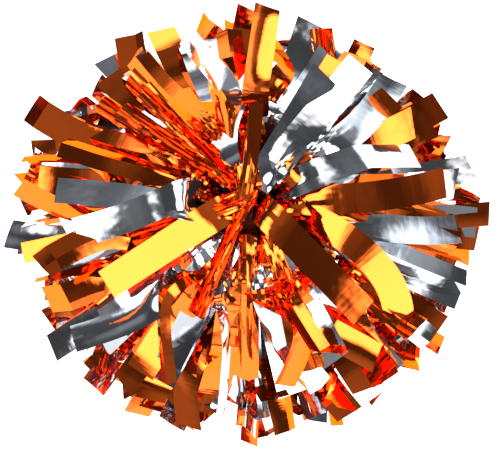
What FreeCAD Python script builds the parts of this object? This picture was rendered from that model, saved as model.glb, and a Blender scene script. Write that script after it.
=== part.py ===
"""Cheer pom pom: a hollow baton grip with one tied head of slit metallic film on each end.

Millimetres. The baton stands on the +Z axis, and z = 0 is the surface that the pom pom rests on.
A head is eight film sheets. Each sheet is gathered round the baton's neck, and its strands fan
out on both sides of the tie: the pole side, away from the grip, and the grip side.
"""

import FreeCAD, Part

import math
import os

# Whole object
mid_height = 130.0            # height of the grip's middle, and so the flattened lower head's reach

# Baton, measured along its axis from the grip's middle
grip_half_length = 45.0
grip_end_radius = 12.2
grip_swell = 1.3              # the grip is this much fatter at its middle
collar_radius = 24.0
collar_thickness = 3.0
collar_drop = 2.2             # the collar's rim leans this far towards the hand
collar_rounding = 1.2
neck_length = 20.0
neck_radius = 9.0
neck_wall = 2.0
grip_wall = 2.0

# End plugs
cap_radius = 12.0
cap_thickness = 3.5
cap_rounding = 1.2
stem_length = 15.0
stem_wall = 1.6
stem_clearance = 0.05
rib_count = 3
rib_pitch = 5.0
first_rib = 3.0               # from the stem's free end to the first rib
rib_height = 0.1              # how far a rib presses into the neck's wall
rib_width = 1.2

# Film sheets, from the axis outwards
sheet_colours = ("orange", "silver", "orange", "orange", "silver", "orange", "silver", "orange")
running_clearance = 0.08      # between the neck and the innermost sheet
axial_clearance = 0.3         # between the innermost sheet and the collar or the cap
first_waist_outer = 12.9      # the innermost sheet is bunched up to here, under the cap's edge
waist_thickness = 0.7
waist_pitch = 0.75
waist_step = 0.9              # each sheet's waist is this much shorter at both ends than the last
film_thickness = 0.2
strand_reach = 142.0          # a strand's length from its waist
groups_per_side = 8
group_angle = 26.0            # angle that one group of strands spreads over
pole_side_gap = 0.05          # between a sheet's waist and its strands, on the pole side
grip_side_gap = 0.08          # the same on the grip side
sheet_turn = 17.0             # each sheet is turned this much from the last
side_turn = 22.5              # the grip side's strands sit between those of the pole side
front_curl = 0.10             # share of its reach that a strand loses by curling at the front and back

# Headings of a strand, in degrees above the plane of the head: innermost sheet, outermost sheet
pole_start = (80.0, 25.0)
pole_end = (-10.0, -25.0)
grip_start = (-8.0, 4.0)
grip_end = (-22.0, -26.0)

# Cable tie
tie_width = 3.6
tie_thickness = 1.2
tie_gap = 0.05
tie_head = (8.0, 5.2, 5.0)    # along the strap, out from the strap, along the baton
tie_tail = 2.0
tie_azimuth = 205.0

# Worked out from the sizes above
neck_start = grip_half_length + collar_thickness
neck_end = neck_start + neck_length
head_middle = neck_start + neck_length / 2
pack_radius = first_waist_outer + waist_pitch * (len(sheet_colours) - 1)


def revolved(edges, angle=360.0):
    """Solid of revolution about Z, from edges that close a loop in the XZ plane."""
    return Part.Face(Part.Wire(edges)).revolve(FreeCAD.Vector(), FreeCAD.Vector(0, 0, 1), angle)


def polygon(points):
    """Closed loop of straight edges through (radius, height) points."""
    corners = [FreeCAD.Vector(r, 0, z) for r, z in points]
    return Part.makePolygon(corners + corners[:1]).Edges


def ring(inner, outer, low, high):
    return revolved(polygon([(inner, low), (outer, low), (outer, high), (inner, high)]))


def arc_edge(centre, radius, start, end):
    """Arc about centre, from heading start to heading end, where a heading is along the arc."""
    def at(heading):
        a = math.radians(heading)
        return FreeCAD.Vector(centre[0] - radius * math.sin(a), 0, centre[1] + radius * math.cos(a))
    return Part.Arc(at(start), at((start + end) / 2), at(end)).toShape()


def line_edge(start, end):
    return Part.LineSegment(start, end).toShape()


def placed(shape, side):
    """Puts a shape modelled for the upper end, with the grip's middle at 0, on its own end."""
    if side < 0:
        shape = shape.mirror(FreeCAD.Vector(), FreeCAD.Vector(0, 0, 1))
    return shape.translated(FreeCAD.Vector(0, 0, mid_height))


def blend(pair, share):
    """Value between the innermost and the outermost sheet's."""
    return pair[0] + (pair[1] - pair[0]) * share


def round_rim(shape, radius, rounding):
    """Rounds the circular edges that are about as large as that radius."""
    rims = [e for e in shape.Edges if e.Length > 2 * math.pi * radius * 0.99]
    return shape.makeFillet(rounding, rims)


# Baton

def grip_barrel(end_radius, middle_radius, half_length):
    """Barrel of revolution: straight ends joined by one arc through the middle."""
    bottom = FreeCAD.Vector(end_radius, 0, -half_length)
    middle = FreeCAD.Vector(middle_radius, 0, 0)
    top = FreeCAD.Vector(end_radius, 0, half_length)
    axis_top = FreeCAD.Vector(0, 0, half_length)
    axis_bottom = FreeCAD.Vector(0, 0, -half_length)
    return revolved([Part.Arc(bottom, middle, top).toShape(), line_edge(top, axis_top),
                     line_edge(axis_top, axis_bottom), line_edge(axis_bottom, bottom)])


def collar():
    """Hand guard: a shallow cone that leans towards the hand, with a rounded rim."""
    root = neck_radius - neck_wall
    cone = revolved(polygon([(root, grip_half_length), (neck_radius, grip_half_length),
                             (collar_radius, grip_half_length - collar_drop),
                             (collar_radius, neck_start - collar_drop), (neck_radius, neck_start),
                             (root, neck_start)]))
    return round_rim(cone, collar_radius, collar_rounding)


def baton_tube():
    """Blow-moulded grip in one piece: barrel, two hand guards and two necks, hollow all through."""
    outer = grip_barrel(grip_end_radius, grip_end_radius + grip_swell, grip_half_length)
    bore = grip_barrel(grip_end_radius - grip_wall, grip_end_radius + grip_swell - grip_wall,
                       grip_half_length)
    neck = Part.makeCylinder(neck_radius, 2 * neck_end, FreeCAD.Vector(0, 0, -neck_end))
    neck_bore = Part.makeCylinder(neck_radius - neck_wall, 2 * neck_end, FreeCAD.Vector(0, 0, -neck_end))
    guard = collar()
    other_guard = guard.mirror(FreeCAD.Vector(), FreeCAD.Vector(0, 0, 1))
    tube = outer.fuse([neck, guard, other_guard]).cut(bore.fuse(neck_bore))
    return placed(tube.removeSplitter(), 1)


def end_plug(side):
    """Cap with a hollow ribbed stem that is pressed into the neck."""
    cap = Part.makeCylinder(cap_radius, cap_thickness, FreeCAD.Vector(0, 0, neck_end))
    cap = round_rim(cap, cap_radius, cap_rounding)
    stem_radius = neck_radius - neck_wall - stem_clearance
    stem = ring(stem_radius - stem_wall, stem_radius, neck_end - stem_length, neck_end)
    ribs = []
    for i in range(rib_count):
        low = neck_end - stem_length + first_rib + rib_pitch * i
        rib_radius = stem_radius + stem_clearance + rib_height
        ribs.append(ring(stem_radius - stem_wall / 2, rib_radius, low, low + rib_width))
    return placed(cap.fuse([stem] + ribs).removeSplitter(), side)


# Film sheets

def waist_span(i):
    """Inner and outer radius, and the two ends along the baton, of sheet i's gathered waist."""
    outer = first_waist_outer + waist_pitch * i
    inner = neck_radius + running_clearance if i == 0 else outer - waist_thickness
    shrink = axial_clearance + waist_step * i
    return inner, outer, neck_start + shrink, neck_end - shrink


def strand_band(start, headings, length, ceiling=None):
    """Edges of a strand's thin section: one arc, which runs on straight where it meets ceiling."""
    first, last = headings
    half = film_thickness / 2
    radius = length / math.radians(first - last)
    rise = radius * (1 - math.cos(math.radians(first)))
    straight = 0.0
    if ceiling is not None and start[1] + rise > ceiling - half:
        last = 0.0
        radius = (ceiling - half - start[1]) / (1 - math.cos(math.radians(first)))
        straight = length - radius * math.radians(first)
    centre = (start[0] + radius * math.sin(math.radians(first)),
              start[1] - radius * math.cos(math.radians(first)))
    upper = arc_edge(centre, radius + half, first, last)
    lower = arc_edge(centre, radius - half, last, first)
    tip = upper.lastVertex().Point
    under = lower.firstVertex().Point
    edges = [upper]
    if straight:
        run = FreeCAD.Vector(straight, 0, 0)
        edges += [line_edge(tip, tip + run), line_edge(tip + run, under + run), line_edge(under + run, under)]
    else:
        edges.append(line_edge(tip, under))
    return edges + [lower, line_edge(lower.lastVertex().Point, upper.firstVertex().Point)]


def group_reach(azimuth):
    """Length of the strands that leave at an azimuth."""
    return strand_reach * (1 - front_curl * math.sin(math.radians(azimuth)) ** 2)


def strand_groups(i, start, headings, turn, ceiling=None):
    """The strands on one side of a sheet, as groups that are sectors of a thin flared shell."""
    groups = []
    for k in range(groups_per_side):
        azimuth = 360.0 / groups_per_side * k + sheet_turn * i + turn
        group = revolved(strand_band(start, headings, group_reach(azimuth), ceiling), group_angle)
        groups.append(group.rotated(FreeCAD.Vector(), FreeCAD.Vector(0, 0, 1), azimuth - group_angle / 2))
    return groups


def film_sheet(i, side):
    """One sheet: its gathered waist round the neck, and its strands on both sides of the tie."""
    inner, outer, low, high = waist_span(i)
    share = i / (len(sheet_colours) - 1)
    pole = (blend(pole_start, share), blend(pole_end, share))
    grip = (blend(grip_start, share), blend(grip_end, share))
    half = film_thickness / 2
    pole_lift = half * math.cos(math.radians(pole[0])) + pole_side_gap
    ceiling = mid_height - waist_step * i if side < 0 else None
    solids = [ring(inner, outer, low, high)]
    solids += strand_groups(i, (outer - waist_thickness / 2, high + pole_lift), pole, 0.0, ceiling)
    solids += strand_groups(i, (outer + grip_side_gap, low + half), grip, side_turn)
    return placed(Part.makeCompound(solids), side)


def cable_tie(side):
    """Nylon tie round the gathered waists. Its tail leaves its square head a third of the way out."""
    inner = pack_radius + tie_gap
    strap = ring(inner, inner + tie_thickness, head_middle - tie_width / 2, head_middle + tie_width / 2)
    along, out, tall = tie_head
    head = Part.makeBox(out, along, tall, FreeCAD.Vector(inner + tie_thickness / 2, -along / 2,
                                                         head_middle - tall / 2))
    tail = Part.makeBox(tie_thickness, along + 2 * tie_tail, tie_width,
                        FreeCAD.Vector(inner + tie_thickness + out / 3, -along / 2 - tie_tail,
                                       head_middle - tie_width / 2))
    tie = strap.fuse([head, tail]).removeSplitter()
    return placed(tie.rotated(FreeCAD.Vector(), FreeCAD.Vector(0, 0, 1), tie_azimuth), side)


nodes = {"baton_tube": baton_tube()}
for end_name, end_side in (("upper", 1), ("lower", -1)):
    nodes[end_name + "_end_plug"] = end_plug(end_side)
    nodes[end_name + "_cable_tie"] = cable_tie(end_side)
    for number, colour in enumerate(sheet_colours):
        nodes["%s_%s_sheet_%d" % (end_name, colour, number + 1)] = film_sheet(number, end_side)

os.makedirs("parts", exist_ok=True)
for name, shape in nodes.items():
    shape.exportStep("parts/%s.step" % name)

whole = Part.makeCompound(list(nodes.values())).BoundBox
print("nodes", len(nodes), "solids", sum(len(s.Solids) for s in nodes.values()))
print("box x %.1f %.1f  y %.1f %.1f  z %.2f %.2f" % (whole.XMin, whole.XMax, whole.YMin, whole.YMax,
                                                   whole.ZMin, whole.ZMax))
for name, shape in nodes.items():
    print("%-24s %8.0f mm3 valid %s" % (name, shape.Volume, shape.isValid()))
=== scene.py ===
"""Looks of the cheer pom pom: slit film sheets gathered round a baton, strand by strand.

Each film sheet is one mesh: a waist gathered round the baton's neck and 24 strands, 12 on the pole
side and 12 on the grip side. Lengths here are in millimetres until a mesh is made, and directions
are a heading (degrees above the horizontal, away from the axis) at an azimuth (degrees from +X).
"""

import math

import bpy
import numpy as np
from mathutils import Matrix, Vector


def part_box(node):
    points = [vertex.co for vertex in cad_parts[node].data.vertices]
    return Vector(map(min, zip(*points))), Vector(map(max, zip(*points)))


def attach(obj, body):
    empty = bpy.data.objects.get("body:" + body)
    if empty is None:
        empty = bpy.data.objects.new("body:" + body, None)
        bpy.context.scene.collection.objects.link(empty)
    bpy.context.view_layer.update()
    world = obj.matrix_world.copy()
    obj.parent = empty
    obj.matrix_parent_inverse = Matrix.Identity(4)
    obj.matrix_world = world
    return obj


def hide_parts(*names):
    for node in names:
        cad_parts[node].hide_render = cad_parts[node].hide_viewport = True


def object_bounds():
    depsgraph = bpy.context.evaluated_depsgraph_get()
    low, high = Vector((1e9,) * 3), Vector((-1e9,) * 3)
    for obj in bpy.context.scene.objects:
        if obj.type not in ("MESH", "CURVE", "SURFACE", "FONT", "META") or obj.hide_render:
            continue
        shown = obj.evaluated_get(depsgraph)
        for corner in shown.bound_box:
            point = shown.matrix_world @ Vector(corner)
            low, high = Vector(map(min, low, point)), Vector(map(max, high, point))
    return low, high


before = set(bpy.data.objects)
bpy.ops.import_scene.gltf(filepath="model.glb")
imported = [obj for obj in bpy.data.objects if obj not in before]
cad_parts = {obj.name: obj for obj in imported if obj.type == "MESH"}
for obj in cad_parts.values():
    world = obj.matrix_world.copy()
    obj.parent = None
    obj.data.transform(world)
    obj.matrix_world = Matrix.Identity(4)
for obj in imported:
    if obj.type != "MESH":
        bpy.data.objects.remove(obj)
cad_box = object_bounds()

MM = 0.001

# Film
STRIP = 19.0                  # width of a strand
REACH = 150.0                 # length of a strand, from the waist
STRIPS = 12                   # strands on each side of a sheet
PANELS = 12                   # flat panels across a strand, between its pleats
WAIST = 20.0                  # uncut film between the slits
COLOURS = ("orange", "silver", "orange", "orange", "silver", "orange", "silver", "orange")
STIFFER = {"orange": 0, "silver": 14}         # degrees by which silver strands stand up more
CRUMPLES = {"orange": 0.10, "silver": 0.03}   # share of the strands that stay crumpled to the tip
FOLDS = 0.25                  # share of the strands with a lengthwise fold
KINKS = 0.30                  # share of the strands with a kinked end
FIRST_WAIST = 12.5            # radius of the innermost sheet's waist
WAIST_STEP = 0.75             # each waist is this much wider than the one inside it

# Places, from the frame
baton_low, baton_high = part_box("baton_tube")
HIGH = np.array(cad_box[1]) / MM
MIDDLE = (baton_low.z + baton_high.z) / 2 / MM       # the grip's middle
NECK_END = (baton_high.z - baton_low.z) / 2 / MM     # the neck's two ends, from the grip's middle
NECK_START = NECK_END - WAIST

# Gaps and limits
END_GAP = 0.5                 # between the neck's ends and the innermost waist's
END_STEP = 0.9                # each waist's ends are this much further from the neck's than the one inside
HEADS_GAP = 1.5               # strands keep this far from the grip's middle, so the heads turn freely
FLOOR_GAP = 0.3               # between the lowest strands and the floor
LIFT = 7.0                    # strands that would pass the low limit end up to this far above it
CROWN = 126.0                 # the crown of the upper head is pressed down above this


def unit(v):
    return v / max(np.linalg.norm(v), 1e-9)


def direction(azimuth, heading):
    a, h = math.radians(azimuth), math.radians(heading)
    return np.array([math.cos(a) * math.cos(h), math.sin(a) * math.cos(h), math.sin(h)])


def smooth(x):
    x = np.clip(x, 0.0, 1.0)
    return x * x * (3 - 2 * x)


def bezier(points, t):
    a, b, c, d = points
    u = 1 - t
    return u ** 3 * a + 3 * u * u * t * b + 3 * u * t * t * c + t ** 3 * d


def centre_line(root, start, tip, end, length):
    """Points along a strand of that length from root to tip, which leaves along start and ends along end."""
    t = np.linspace(0, 1, 60)[:, None]
    low, high = 0.02, 1.3
    for _ in range(18):
        k = (low + high) / 2 * length
        line = bezier((root, root + start * k * 0.5, tip - end * k * 0.42, tip), t)
        if np.linalg.norm(np.diff(line, axis=0), axis=1).sum() < length:
            low = (low + high) / 2
        else:
            high = (low + high) / 2
    return line


def frames(line, across):
    """Unit tangent, width direction and normal at each point, with the width direction carried along."""
    tangent = np.gradient(line, axis=0)
    tangent /= np.linalg.norm(tangent, axis=1)[:, None]
    width = np.empty_like(line)
    w = across
    for i, t in enumerate(tangent):
        w = unit(w - t * np.dot(w, t))
        width[i] = w
    return tangent, width, np.cross(tangent, width)


ROWS = np.concatenate([np.linspace(0, 0.4, 17), np.linspace(0.4, 1, 18)[1:]])


def noise_line(rng, s, waves, size):
    """Smooth random line over s: a few sines of random phase."""
    total = np.zeros_like(s)
    for n in waves:
        total += rng.normal() * np.sin(s * n * math.pi + rng.uniform(0, 2 * math.pi)) / n
    return total * size


def keep_between(heights, low, high, give):
    """Heights held in a range: they near the low limit softly and are pressed together past the high one."""
    knee = 5.0
    soft = low + (knee - low) * np.exp(np.minimum(heights - knee, 0) / (knee - low))
    heights = np.where(heights < knee, soft, heights)
    return np.minimum(heights, high) + give * np.maximum(heights - high, 0)


def cross_sections(rng, look, ring_share):
    """Pleated section at each row: offsets across it and off it, and where its pleats lie (0 to 1)."""
    cuts = np.cumsum(rng.uniform(0.6, 1.4, PANELS))
    cuts = np.concatenate([[0], cuts / cuts[-1]])
    panel = np.diff(cuts) * STRIP
    middle = (cuts[1:] + cuts[:-1]) / 2
    open_share = smooth(ROWS[:, None] / (look["open"] * rng.uniform(0.55, 1.25, PANELS)))
    gather = ring_share + (1 - ring_share) * open_share
    pleat = np.arccos(np.clip(gather, 0.05, 1.0)) * rng.uniform(0.7, 1.2, PANELS)
    sign = np.where(np.arange(PANELS) % 2 == 0, 1.0, -1.0)
    creases = np.column_stack([noise_line(rng, ROWS, (1, 2, 3, 5, 8, 13), 0.42) for _ in range(PANELS)])
    creases += rng.normal(0, 0.10, creases.shape)
    wobble = creases * (1 - open_share) * look["crumple"]
    fold = np.where(middle < look["fold_at"], 1.0, -1.0) * math.radians(look["fold"])
    curl = (middle - 0.5) * 2 * math.radians(look["cup"])
    angle = pleat * sign + wobble
    angle = angle + (fold + curl)[None, :] * smooth((ROWS - 0.15) / 0.3)[:, None]
    step_w = panel * np.cos(angle)
    step_n = panel * np.sin(angle)
    w = np.concatenate([np.zeros((len(ROWS), 1)), np.cumsum(step_w, axis=1)], axis=1)
    h = np.concatenate([np.zeros((len(ROWS), 1)), np.cumsum(step_n, axis=1)], axis=1)
    w -= w.mean(axis=1)[:, None]
    h -= h.mean(axis=1)[:, None]
    h *= (0.25 + 0.75 * smooth(ROWS / 0.08))[:, None]
    return w, h, cuts


def strand_mesh(rng, strand, across, ring_share, limits):
    """Grid of points, rows by columns, of one strand. Heights are from the grip's middle."""
    low, high, give = limits
    look = strand["look"]
    line = centre_line(strand["root"], strand["start"], strand["tip"], strand["end"], REACH)
    steps = np.concatenate([[0], np.cumsum(np.linalg.norm(np.diff(line, axis=0), axis=1))])
    s = steps / steps[-1]
    line = np.column_stack([np.interp(ROWS, s, line[:, k]) for k in range(3)])
    line[:, 2] = keep_between(line[:, 2], low, high, give)
    tangent, width, normal = frames(line, across)
    roll = math.radians(look["roll"]) * smooth(ROWS / 0.7) + noise_line(rng, ROWS, (1, 2), 0.08)
    c, n = np.cos(roll)[:, None], np.sin(roll)[:, None]
    width, normal = width * c + normal * n, normal * c - width * n
    bump = noise_line(rng, ROWS, (2, 3, 5), look["wave"]) * smooth(ROWS / 0.2)
    bump += look["ripple"] * np.sin(np.arange(len(ROWS)) * 2.2)
    line = line + normal * bump[:, None]

    w, h, cuts = cross_sections(rng, look, ring_share)
    grid = line[:, None, :] + width[:, None, :] * w[:, :, None] + normal[:, None, :] * h[:, :, None]
    grid[-1] += tangent[-1] * ((cuts - 0.5) * look["slant"])[:, None]
    if look["kink"]:
        kink_tip(grid, width, look["kink"])
    shortfall = low + rng.uniform(0, LIFT) - grid[:, :, 2].min()
    if shortfall > 0:
        grid[:, :, 2] += shortfall * (ROWS ** 1.5)[:, None]
    grid[:, :, 2] = np.maximum(grid[:, :, 2], low)
    if give == 0:
        grid[:, :, 2] = np.minimum(grid[:, :, 2], high)
    return grid, cuts


def kink_tip(grid, width, kink):
    """Bends the end of a strand about a crease: (share of the length left beyond it, degrees)."""
    share, degrees = kink
    first = int(np.searchsorted(ROWS, 1 - share))
    pivot = grid[first].mean(axis=0)
    axis = unit(width[first])
    a = math.radians(degrees)
    rest = grid[first + 1:] - pivot
    along = np.cross(axis, rest)
    dot = (rest @ axis)[..., None]
    grid[first + 1:] = pivot + rest * math.cos(a) + along * math.sin(a) + axis * dot * (1 - math.cos(a))


# A strand's tilt at the tip (degrees), wave and ripple (mm), share of the length before it is open, how
# crumpled it is before that, its lengthwise fold (degrees, and where), cup (degrees), slanted cut (mm)
# and kinked end (share of the length, degrees)
LOOK = {"roll": 0, "wave": 0.9, "ripple": 0, "open": 0.42, "crumple": 1.0, "fold": 0, "fold_at": 0.5,
        "cup": 0, "slant": 0, "kink": None}


def oval(azimuth):
    """The pom pom is a little narrower from front to back."""
    wide, deep = HIGH[0], 0.97 * HIGH[1]
    a = math.radians(azimuth)
    return deep / math.hypot(deep * math.cos(a), wide * math.sin(a))


def arc_tip(start_heading, end_heading, length):
    """How far out and up a strand's tip lies if it bends evenly from one heading to the other."""
    a, b = math.radians(start_heading), math.radians(end_heading)
    radius = length / (a - b)
    return radius * (math.sin(a) - math.sin(b)), radius * (math.cos(b) - math.cos(a))


def waist_radius(i):
    return FIRST_WAIST + WAIST_STEP * i


def waist_ends(i):
    """Heights of the ends of sheet i's waist, on the grip side and on the pole side."""
    return NECK_START + END_GAP + END_STEP * i, NECK_END - END_GAP - END_STEP * i


# Where a strand's tip can end up: reach from the axis, height above the grip's middle, and the heading
# it leaves the waist with
LEVELS = {"crown": (85, 98, 114), "high": (104, 92, 104), "shelf": (118, 110, 70), "over": (123, 84, 94),
          "middle": (120, 72, 84), "low": (132, 57, 66), "rim": (145, 46, 50)}

# How a strand can lie
STYLES = {
    "flat": {"wave": 0.5, "last": -8},
    "level": {"wave": 0.4, "last": 2},
    "drooped": {"wave": 0.4, "last": -24},
    "hanging": {"wave": 0.4, "last": -38},
    "arched": {"wave": 0.5, "cup": 9, "open": 0.55, "last": -32},
    "grained": {"wave": 0.6, "ripple": 0.10, "last": -8},
    "creased": {"wave": 1.5, "kink": (0.34, 26)},
    "folded": {"fold": 30, "open": 0.55},
    "pinched": {"fold": 48, "open": 0.85},
    "crumpled": {"open": 2.2, "crumple": 1.7},
    "kinked": {"wave": 0.6, "kink": (0.10, 42), "last": -10},
}

# Strands of the upper head that are set one by one. Sheets and slots are counted from 0, outwards from the
# axis and round from +X: tip level, lean from the slot's own azimuth, style, tilt, and how far the tip
# sweeps round. The rest follow the rule in plain_strand.
SET_BY_EYE = {
    0: {0: ("over", 7, "grained", -3, 10), 1: ("middle", 8, "grained", -8, 0),
        2: ("crown", 28, "pinched", 0, 0), 3: ("crown", 14, "pinched", 10, 0),
        4: ("high", 12, "crumpled", 0, 0), 5: ("high", -8, "crumpled", 0, 0),
        6: ("crown", 15, "crumpled", 10, 0), 7: ("high", 0, "drooped", -9, 0),
        8: ("crown", 5, "crumpled", 0, 0), 9: ("middle", 0, "pinched", 0, 0),
        10: ("middle", -5, "pinched", -10, 0), 11: ("high", -14, "drooped", -8, 0)},
    1: {0: ("over", 5, "creased", -14, 0), 1: ("over", 5, "flat", 6, 0),
        2: ("high", -17, "flat", 0, 0), 3: ("high", -25, "flat", -10, -35),
        4: ("rim", -10, "kinked", -15, 0), 5: ("shelf", 24, "kinked", 2, 0),
        6: ("shelf", -20, "level", 9, 0), 7: ("low", -5, "grained", 10, 0),
        8: ("low", -14, "grained", 8, 0), 9: ("low", 5, "folded", -15, 20),
        10: ("rim", 8, "folded", 25, 0), 11: ("low", 8, "arched", -20, 15)},
    2: {0: ("middle", -6, "flat", 12, 0), 1: ("low", -10, "flat", -20, 0), 2: ("high", 8, "flat", -5, 0),
        3: ("middle", 8, "crumpled", 0, 0), 4: ("middle", -10, "crumpled", 0, 0),
        5: ("over", -22, "folded", 0, 0), 6: ("crown", -10, "crumpled", 0, 0),
        7: ("rim", -10, "flat", 15, 0), 8: ("low", -10, "creased", -10, 0), 9: ("rim", 0, "flat", -5, 0),
        10: ("rim", -5, "flat", 10, 0), 11: ("over", -42, "hanging", 0, -55)},
    3: {0: ("middle", 8, "grained", -10, 0), 1: ("low", 15, "folded", 10, 0),
        2: ("low", 15, "folded", -10, 0), 3: ("low", -5, "flat", 20, 0),
        4: ("rim", 0, "kinked", -10, 0), 5: ("rim", -10, "flat", -15, 0),
        6: ("low", 5, "flat", 10, 0), 7: ("rim", 0, "creased", -10, 0), 8: ("middle", 0, "folded", 10, 0),
        9: ("rim", -10, "flat", 30, 0), 10: ("low", 0, "folded", 25, 0), 11: ("low", 5, "grained", 15, 0)},
    4: {0: ("rim", -5, "flat", -10, 0), 1: ("low", 10, "kinked", 20, 0), 2: ("low", 0, "kinked", 10, 0),
        3: ("low", 0, "kinked", 25, 0), 4: ("rim", 5, "flat", 15, 0), 5: ("middle", 0, "grained", 5, 0),
        6: ("middle", -5, "flat", 15, 0), 7: ("low", 5, "flat", -10, 0), 8: ("middle", -8, "flat", -15, 0),
        9: ("rim", 0, "flat", -30, 0), 10: ("low", 0, "flat", 20, 0), 11: ("low", 5, "arched", -10, 20)},
    5: {1: ("rim", 0, "flat", 15, 0), 2: ("low", 10, "folded", -10, 0), 9: ("rim", 0, "flat", -10, 0),
        10: ("rim", 5, "grained", 10, 0), 11: ("low", 0, "grained", -15, 0)},
    6: {1: ("rim", 0, "flat", 20, 0), 2: ("rim", 5, "kinked", -15, 0), 6: ("rim", -5, "flat", -15, 0),
        7: ("rim", 0, "flat", 10, 0), 8: ("rim", 0, "folded", 15, 0), 9: ("rim", 0, "flat", -20, 0),
        10: ("rim", 0, "kinked", 0, 0), 11: ("rim", 0, "flat", 20, 0)},
}


def random_look(rng, spread, crumples):
    look = dict(LOOK)
    look["roll"] = rng.normal(0, spread)
    look["wave"] = rng.uniform(0.5, 1.3)
    look["open"] = rng.uniform(0.30, 0.62)
    look["cup"] = rng.normal(0, 7)
    look["slant"] = rng.normal(0, 2.5)
    if rng.random() < FOLDS:
        look["fold"] = rng.choice([-1, 1]) * rng.uniform(15, 38)
        look["fold_at"] = rng.uniform(0.3, 0.7)
    if rng.random() < KINKS:
        look["kink"] = (rng.uniform(0.06, 0.2), rng.choice([-1, 1]) * rng.uniform(20, 70))
    if rng.random() < crumples:
        look.update(open=1.3, crumple=1.6)
    return look


def plain_strand(rng, i, side, azimuth):
    """A strand that nothing special is said of: it bends evenly, lower in each sheet further out."""
    share = i / (len(COLOURS) - 1)
    lean = azimuth + rng.normal(0, 11)
    if side == "pole":
        first = 76 - 62 * share + STIFFER[COLOURS[i]] + rng.normal(0, 6)
        last = -4 - 14 * share + rng.normal(0, 14)
        spread = 20 + 16 * share
    else:
        first = -4 + 10 * share + rng.normal(0, 4)
        last = -38 + rng.normal(0, 14)
        spread = 38
    out, up = arc_tip(first, last, REACH * 0.965)
    reach = (waist_radius(i) + out) * oval(lean) * rng.uniform(0.86, 0.975)
    return {"lean": lean, "reach": reach, "up": up, "first": first, "last": last,
            "sweep": rng.normal(0, 16), "look": random_look(rng, spread, CRUMPLES[COLOURS[i]])}


def set_strand(strand, setting, azimuth, edge):
    """A plain strand, changed into one that is set one by one."""
    level, lean, style, tilt, sweep = setting
    reach, height, first = LEVELS[level]
    look = dict(LOOK, roll=tilt, slant=strand["look"]["slant"])
    look.update(STYLES[style])
    last = look.pop("last", -20)
    return dict(strand, lean=azimuth + lean, reach=reach * oval(azimuth + lean), up=height - edge,
                first=first, last=last, sweep=sweep, look=look)


def slot_azimuth(i, j):
    return 360.0 / STRIPS * j + 17.0 * i


def height_limits(i, end):
    """How near the other head and how far up or down a sheet's strands go, and how much they give there."""
    if end == "upper":
        return HEADS_GAP, CROWN, 0.30
    return HEADS_GAP, MIDDLE - FLOOR_GAP - END_STEP * i, 0.0


def sheet_strands(rng, i, end):
    """Root, direction and tip of each strand of sheet i, as if its head were the upper one."""
    radius = waist_radius(i)
    settings = SET_BY_EYE.get(i, {}) if end == "upper" else {}
    made = []
    low, high = waist_ends(i)
    for side, edge in (("pole", high), ("grip", low)):
        for j in range(STRIPS):
            azimuth = slot_azimuth(i, j)
            strand = plain_strand(rng, i, side, azimuth)
            if side == "pole" and j in settings:
                strand = set_strand(strand, settings[j], azimuth, edge)
            flat = direction(strand["lean"], 0)[:2]
            made.append({"azimuth": azimuth,
                         "root": np.append(direction(azimuth, 0)[:2] * radius, edge),
                         "start": direction(azimuth, strand["first"]),
                         "tip": np.append(flat * strand["reach"], edge + strand["up"]),
                         "end": direction(strand["lean"] + strand["sweep"], strand["last"]),
                         "look": strand["look"]})
    return made


def film_sheet(i, end):
    """One sheet as a mesh of quads, in millimetres: points, faces and a UV for each point."""
    upper = end == "upper"
    rng = np.random.default_rng(100 * (1 if upper else 2) + i)
    radius = waist_radius(i)
    ring_share = min(2 * math.pi * radius / (STRIPS * STRIP), 0.95)
    points, faces, uvs = [], [], []

    def add_grid(grid, cuts, v, u_start):
        first = len(points)
        rows, columns = grid.shape[:2]
        points.extend(grid.reshape(-1, 3))
        for r in range(rows):
            for k in range(columns):
                uvs.append((u_start + cuts[k] * STRIP * MM, v[r] * MM))
        for r in range(rows - 1):
            for k in range(columns - 1):
                a = first + r * columns + k
                faces.append((a, a + 1, a + columns + 1, a + columns))

    for strand in sheet_strands(rng, i, end):
        across = direction(strand["azimuth"] + 90, 0)
        grid, cuts = strand_mesh(rng, strand, across, ring_share, height_limits(i, end))
        add_grid(grid, cuts, ROWS * REACH, rng.uniform(0, 4.0))
    low, high = waist_ends(i)
    steps = 8 * STRIPS + 1
    turn = np.linspace(0, 2 * math.pi, steps)
    out = radius + 0.3 * np.where(np.arange(steps) % 2 == 0, 1, -1)
    heights = np.linspace(low, high, 4)
    grid = np.array([np.column_stack([out * np.cos(turn), out * np.sin(turn), np.full(steps, z)])
                     for z in heights])
    add_grid(grid, np.linspace(0, STRIPS, steps), heights, 0.0)
    points = np.array(points)
    points[:, 2] = MIDDLE + (points[:, 2] if upper else -points[:, 2])
    return points * MM, faces, uvs


def make_mesh(name, points, faces, uvs, material):
    mesh = bpy.data.meshes.new(name)
    mesh.from_pydata([tuple(p) for p in points], [], faces)
    layer = mesh.uv_layers.new(name="film")
    index = np.empty(len(mesh.loops), int)
    mesh.loops.foreach_get("vertex_index", index)
    layer.data.foreach_set("uv", np.array(uvs)[index].astype(np.float32).ravel())
    mesh.materials.append(material)
    mesh.shade_smooth()
    mesh.set_sharp_from_angle(angle=math.radians(28))
    mesh.update()
    piece = bpy.data.objects.new(name, mesh)
    bpy.context.scene.collection.objects.link(piece)
    return piece


def new_material(name, colour, roughness):
    """A material, its node tree and its shader."""
    material = bpy.data.materials.new(name)
    material.use_nodes = True
    shader = material.node_tree.nodes["Principled BSDF"]
    shader.inputs["Base Color"].default_value = (*colour, 1)
    shader.inputs["Roughness"].default_value = roughness
    return material, material.node_tree, shader


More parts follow.
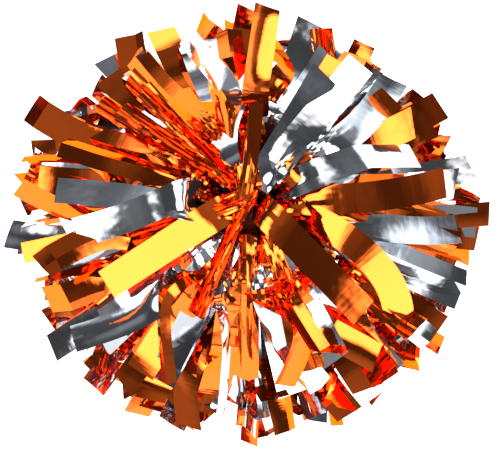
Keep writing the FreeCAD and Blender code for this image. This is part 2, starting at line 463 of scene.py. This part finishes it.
def noise_bump(tree, where, scale, strength, depth):
    """Bump node (depth in metres) driven by noise over the coordinates that where gives."""
    noise = tree.nodes.new("ShaderNodeTexNoise")
    noise.inputs["Scale"].default_value = scale
    noise.inputs["Detail"].default_value = 2.0
    tree.links.new(where, noise.inputs["Vector"])
    bump = tree.nodes.new("ShaderNodeBump")
    bump.inputs["Strength"].default_value = strength
    bump.inputs["Distance"].default_value = depth
    tree.links.new(noise.outputs["Fac"], bump.inputs["Height"])
    return bump


def film_material(name, colour, edge, roughness, grain, dents):
    """Metallised film: a mirror with faint ripples across the strand and broad dents."""
    material, tree, shader = new_material(name, colour, roughness)
    shader.inputs["Specular Tint"].default_value = (*edge, 1)
    shader.inputs["Metallic"].default_value = 0.97
    where = tree.nodes.new("ShaderNodeTexCoord")
    stretch = tree.nodes.new("ShaderNodeMapping")
    stretch.inputs["Scale"].default_value = (18, 260, 1)
    tree.links.new(where.outputs["UV"], stretch.inputs["Vector"])
    fine = noise_bump(tree, stretch.outputs["Vector"], 1.0, grain, 0.0005)
    broad = noise_bump(tree, where.outputs["UV"], 55, dents, 0.0008)
    tree.links.new(fine.outputs["Normal"], broad.inputs["Normal"])
    tree.links.new(broad.outputs["Normal"], shader.inputs["Normal"])
    return material


def plastic_material(name, colour, roughness):
    """Moulded plastic with a fine, shallow grain."""
    material, tree, shader = new_material(name, colour, roughness)
    where = tree.nodes.new("ShaderNodeTexCoord")
    grain = noise_bump(tree, where.outputs["Object"], 900, 0.15, 0.0003)
    tree.links.new(grain.outputs["Normal"], shader.inputs["Normal"])
    return material


# Film sheets
film = {"orange": film_material("orange_film", (0.92, 0.145, 0.020), (1.0, 0.55, 0.25), 0.045, 0.10, 0.18),
        "silver": film_material("silver_film", (0.58, 0.595, 0.62), (1.0, 1.0, 1.0), 0.055, 0.05, 0.32)}
for end in ("upper", "lower"):
    for i, colour in enumerate(COLOURS):
        node = "%s_%s_sheet_%d" % (end, colour, i + 1)
        piece = make_mesh(node + "_film", *film_sheet(i, end), film[colour])
        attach(piece, end + "_head")
        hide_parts(node)

# Hard parts
grip_plastic = plastic_material("grip_plastic", (0.86, 0.86, 0.84), 0.38)
plug_plastic = plastic_material("plug_plastic", (0.84, 0.84, 0.83), 0.34)
tie_nylon = plastic_material("tie_nylon", (0.80, 0.80, 0.76), 0.42)
for node, material in (("baton_tube", grip_plastic), ("upper_end_plug", plug_plastic),
                       ("lower_end_plug", plug_plastic), ("upper_cable_tie", tie_nylon),
                       ("lower_cable_tie", tie_nylon)):
    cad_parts[node].data.materials.clear()
    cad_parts[node].data.materials.append(material)


# Studio
def floor_plane():
    """White paper that glows enough to have almost no shadows."""
    mesh = bpy.data.meshes.new("floor")
    half = 6.0
    corners = [(-half, -half, 0), (half, -half, 0), (half, half, 0), (-half, half, 0)]
    mesh.from_pydata(corners, [], [(0, 1, 2, 3)])
    material, _, shader = new_material("floor_paper", (0.5, 0.5, 0.5), 0.8)
    shader.inputs["Emission Color"].default_value = (1, 1, 1, 1)
    shader.inputs["Emission Strength"].default_value = 1.6
    mesh.materials.append(material)
    plane = bpy.data.objects.new("floor", mesh)
    bpy.context.scene.collection.objects.link(plane)


# Soft lamps: azimuth and heading of each, how wide its even middle and its whole glow are (degrees from
# its centre), and its brightness
LAMPS = ((215, 48, 17, 23, 6.2), (50, 50, 13, 20, 5.8), (335, 38, 13, 19, 6.0), (120, 40, 11, 17, 5.6),
         (275, 30, 12, 18, 6.0))


def ramp_node(nodes, stops):
    ramp = nodes.new("ShaderNodeValToRGB")
    while len(ramp.color_ramp.elements) < len(stops):
        ramp.color_ramp.elements.new(0.5)
    for element, (place, value) in zip(ramp.color_ramp.elements, stops):
        element.position = place
        element.color = (value * 0.97, value, value * 1.04, 1)
    return ramp


def lamp_light(nodes, links, where):
    """Sum of the lamps' brightness in a direction."""
    total = None
    for azimuth, heading, middle, whole, brightness in LAMPS:
        toward = nodes.new("ShaderNodeVectorMath")
        toward.operation = "DOT_PRODUCT"
        toward.inputs[1].default_value = direction(azimuth, heading)
        links.new(where, toward.inputs[0])
        glow = nodes.new("ShaderNodeMapRange")
        glow.interpolation_type = "SMOOTHSTEP"
        glow.inputs["From Min"].default_value = math.cos(math.radians(whole))
        glow.inputs["From Max"].default_value = math.cos(math.radians(middle))
        glow.inputs["To Max"].default_value = brightness
        links.new(toward.outputs["Value"], glow.inputs["Value"])
        if total is None:
            total = glow.outputs["Result"]
            continue
        both = nodes.new("ShaderNodeMath")
        both.operation = "ADD"
        links.new(total, both.inputs[0])
        links.new(glow.outputs["Result"], both.inputs[1])
        total = both.outputs["Value"]
    return total


def studio_world():
    """A dim, patchy ceiling, dark gaps between the lamps, and white walls near the horizon."""
    world = bpy.data.worlds.new("studio")
    bpy.context.scene.world = world
    world.use_nodes = True
    nodes, links = world.node_tree.nodes, world.node_tree.links
    where = nodes.new("ShaderNodeTexCoord")
    split = nodes.new("ShaderNodeSeparateXYZ")
    links.new(where.outputs["Generated"], split.inputs["Vector"])
    height = ramp_node(nodes, ((0.0, 2.2), (0.15, 2.2), (0.24, 0.44), (0.55, 0.22), (0.86, 0.14),
                               (0.91, 0.29), (1.0, 0.38)))
    links.new(split.outputs["Z"], height.inputs["Fac"])
    patches = nodes.new("ShaderNodeTexNoise")
    patches.inputs["Scale"].default_value = 2.6
    patches.inputs["Detail"].default_value = 1.0
    links.new(where.outputs["Generated"], patches.inputs["Vector"])
    depth = ramp_node(nodes, ((0.0, 0.16), (0.45, 0.16), (0.54, 0.7), (0.63, 1.3), (1.0, 1.3)))
    links.new(patches.outputs["Fac"], depth.inputs["Fac"])
    product = nodes.new("ShaderNodeMix")
    product.data_type = "RGBA"
    product.blend_type = "MULTIPLY"
    fade = nodes.new("ShaderNodeMapRange")
    fade.inputs["From Min"].default_value = 0.80
    fade.inputs["From Max"].default_value = 0.90
    fade.inputs["To Min"].default_value = 1.0
    fade.inputs["To Max"].default_value = 0.15
    links.new(split.outputs["Z"], fade.inputs["Value"])
    links.new(fade.outputs["Result"], product.inputs["Factor"])
    links.new(height.outputs["Color"], product.inputs["A"])
    links.new(depth.outputs["Color"], product.inputs["B"])
    lit = nodes.new("ShaderNodeVectorMath")
    lit.operation = "ADD"
    links.new(product.outputs["Result"], lit.inputs[0])
    links.new(lamp_light(nodes, links, where.outputs["Generated"]), lit.inputs[1])
    links.new(lit.outputs["Vector"], nodes["Background"].inputs["Color"])
    backdrop = nodes.new("ShaderNodeBackground")
    backdrop.inputs["Color"].default_value = (0.97, 0.97, 0.97, 1)
    seen = nodes.new("ShaderNodeLightPath")
    choose = nodes.new("ShaderNodeMixShader")
    links.new(seen.outputs["Is Camera Ray"], choose.inputs["Fac"])
    links.new(nodes["Background"].outputs["Background"], choose.inputs[1])
    links.new(backdrop.outputs["Background"], choose.inputs[2])
    links.new(choose.outputs["Shader"], nodes["World Output"].inputs["Surface"])


def camera():
    """High above and a little in front, with the pom pom filling the picture."""
    elevation, distance, seen_width, sensor = 82.0, 2.2, 0.320, 36
    data = bpy.data.cameras.new("camera")
    cam = bpy.data.objects.new("camera", data)
    target = Vector((0, 0, MIDDLE * MM))
    out = Vector(direction(-90, elevation))
    cam.location = target + out * distance
    cam.rotation_euler = (-out).to_track_quat("-Z", "Y").to_euler()
    data.sensor_width = sensor
    data.lens = sensor * distance / seen_width
    bpy.context.scene.collection.objects.link(cam)
    bpy.context.scene.camera = cam


floor_plane()
studio_world()
camera()
bpy.context.scene.view_settings.view_transform = "Standard"
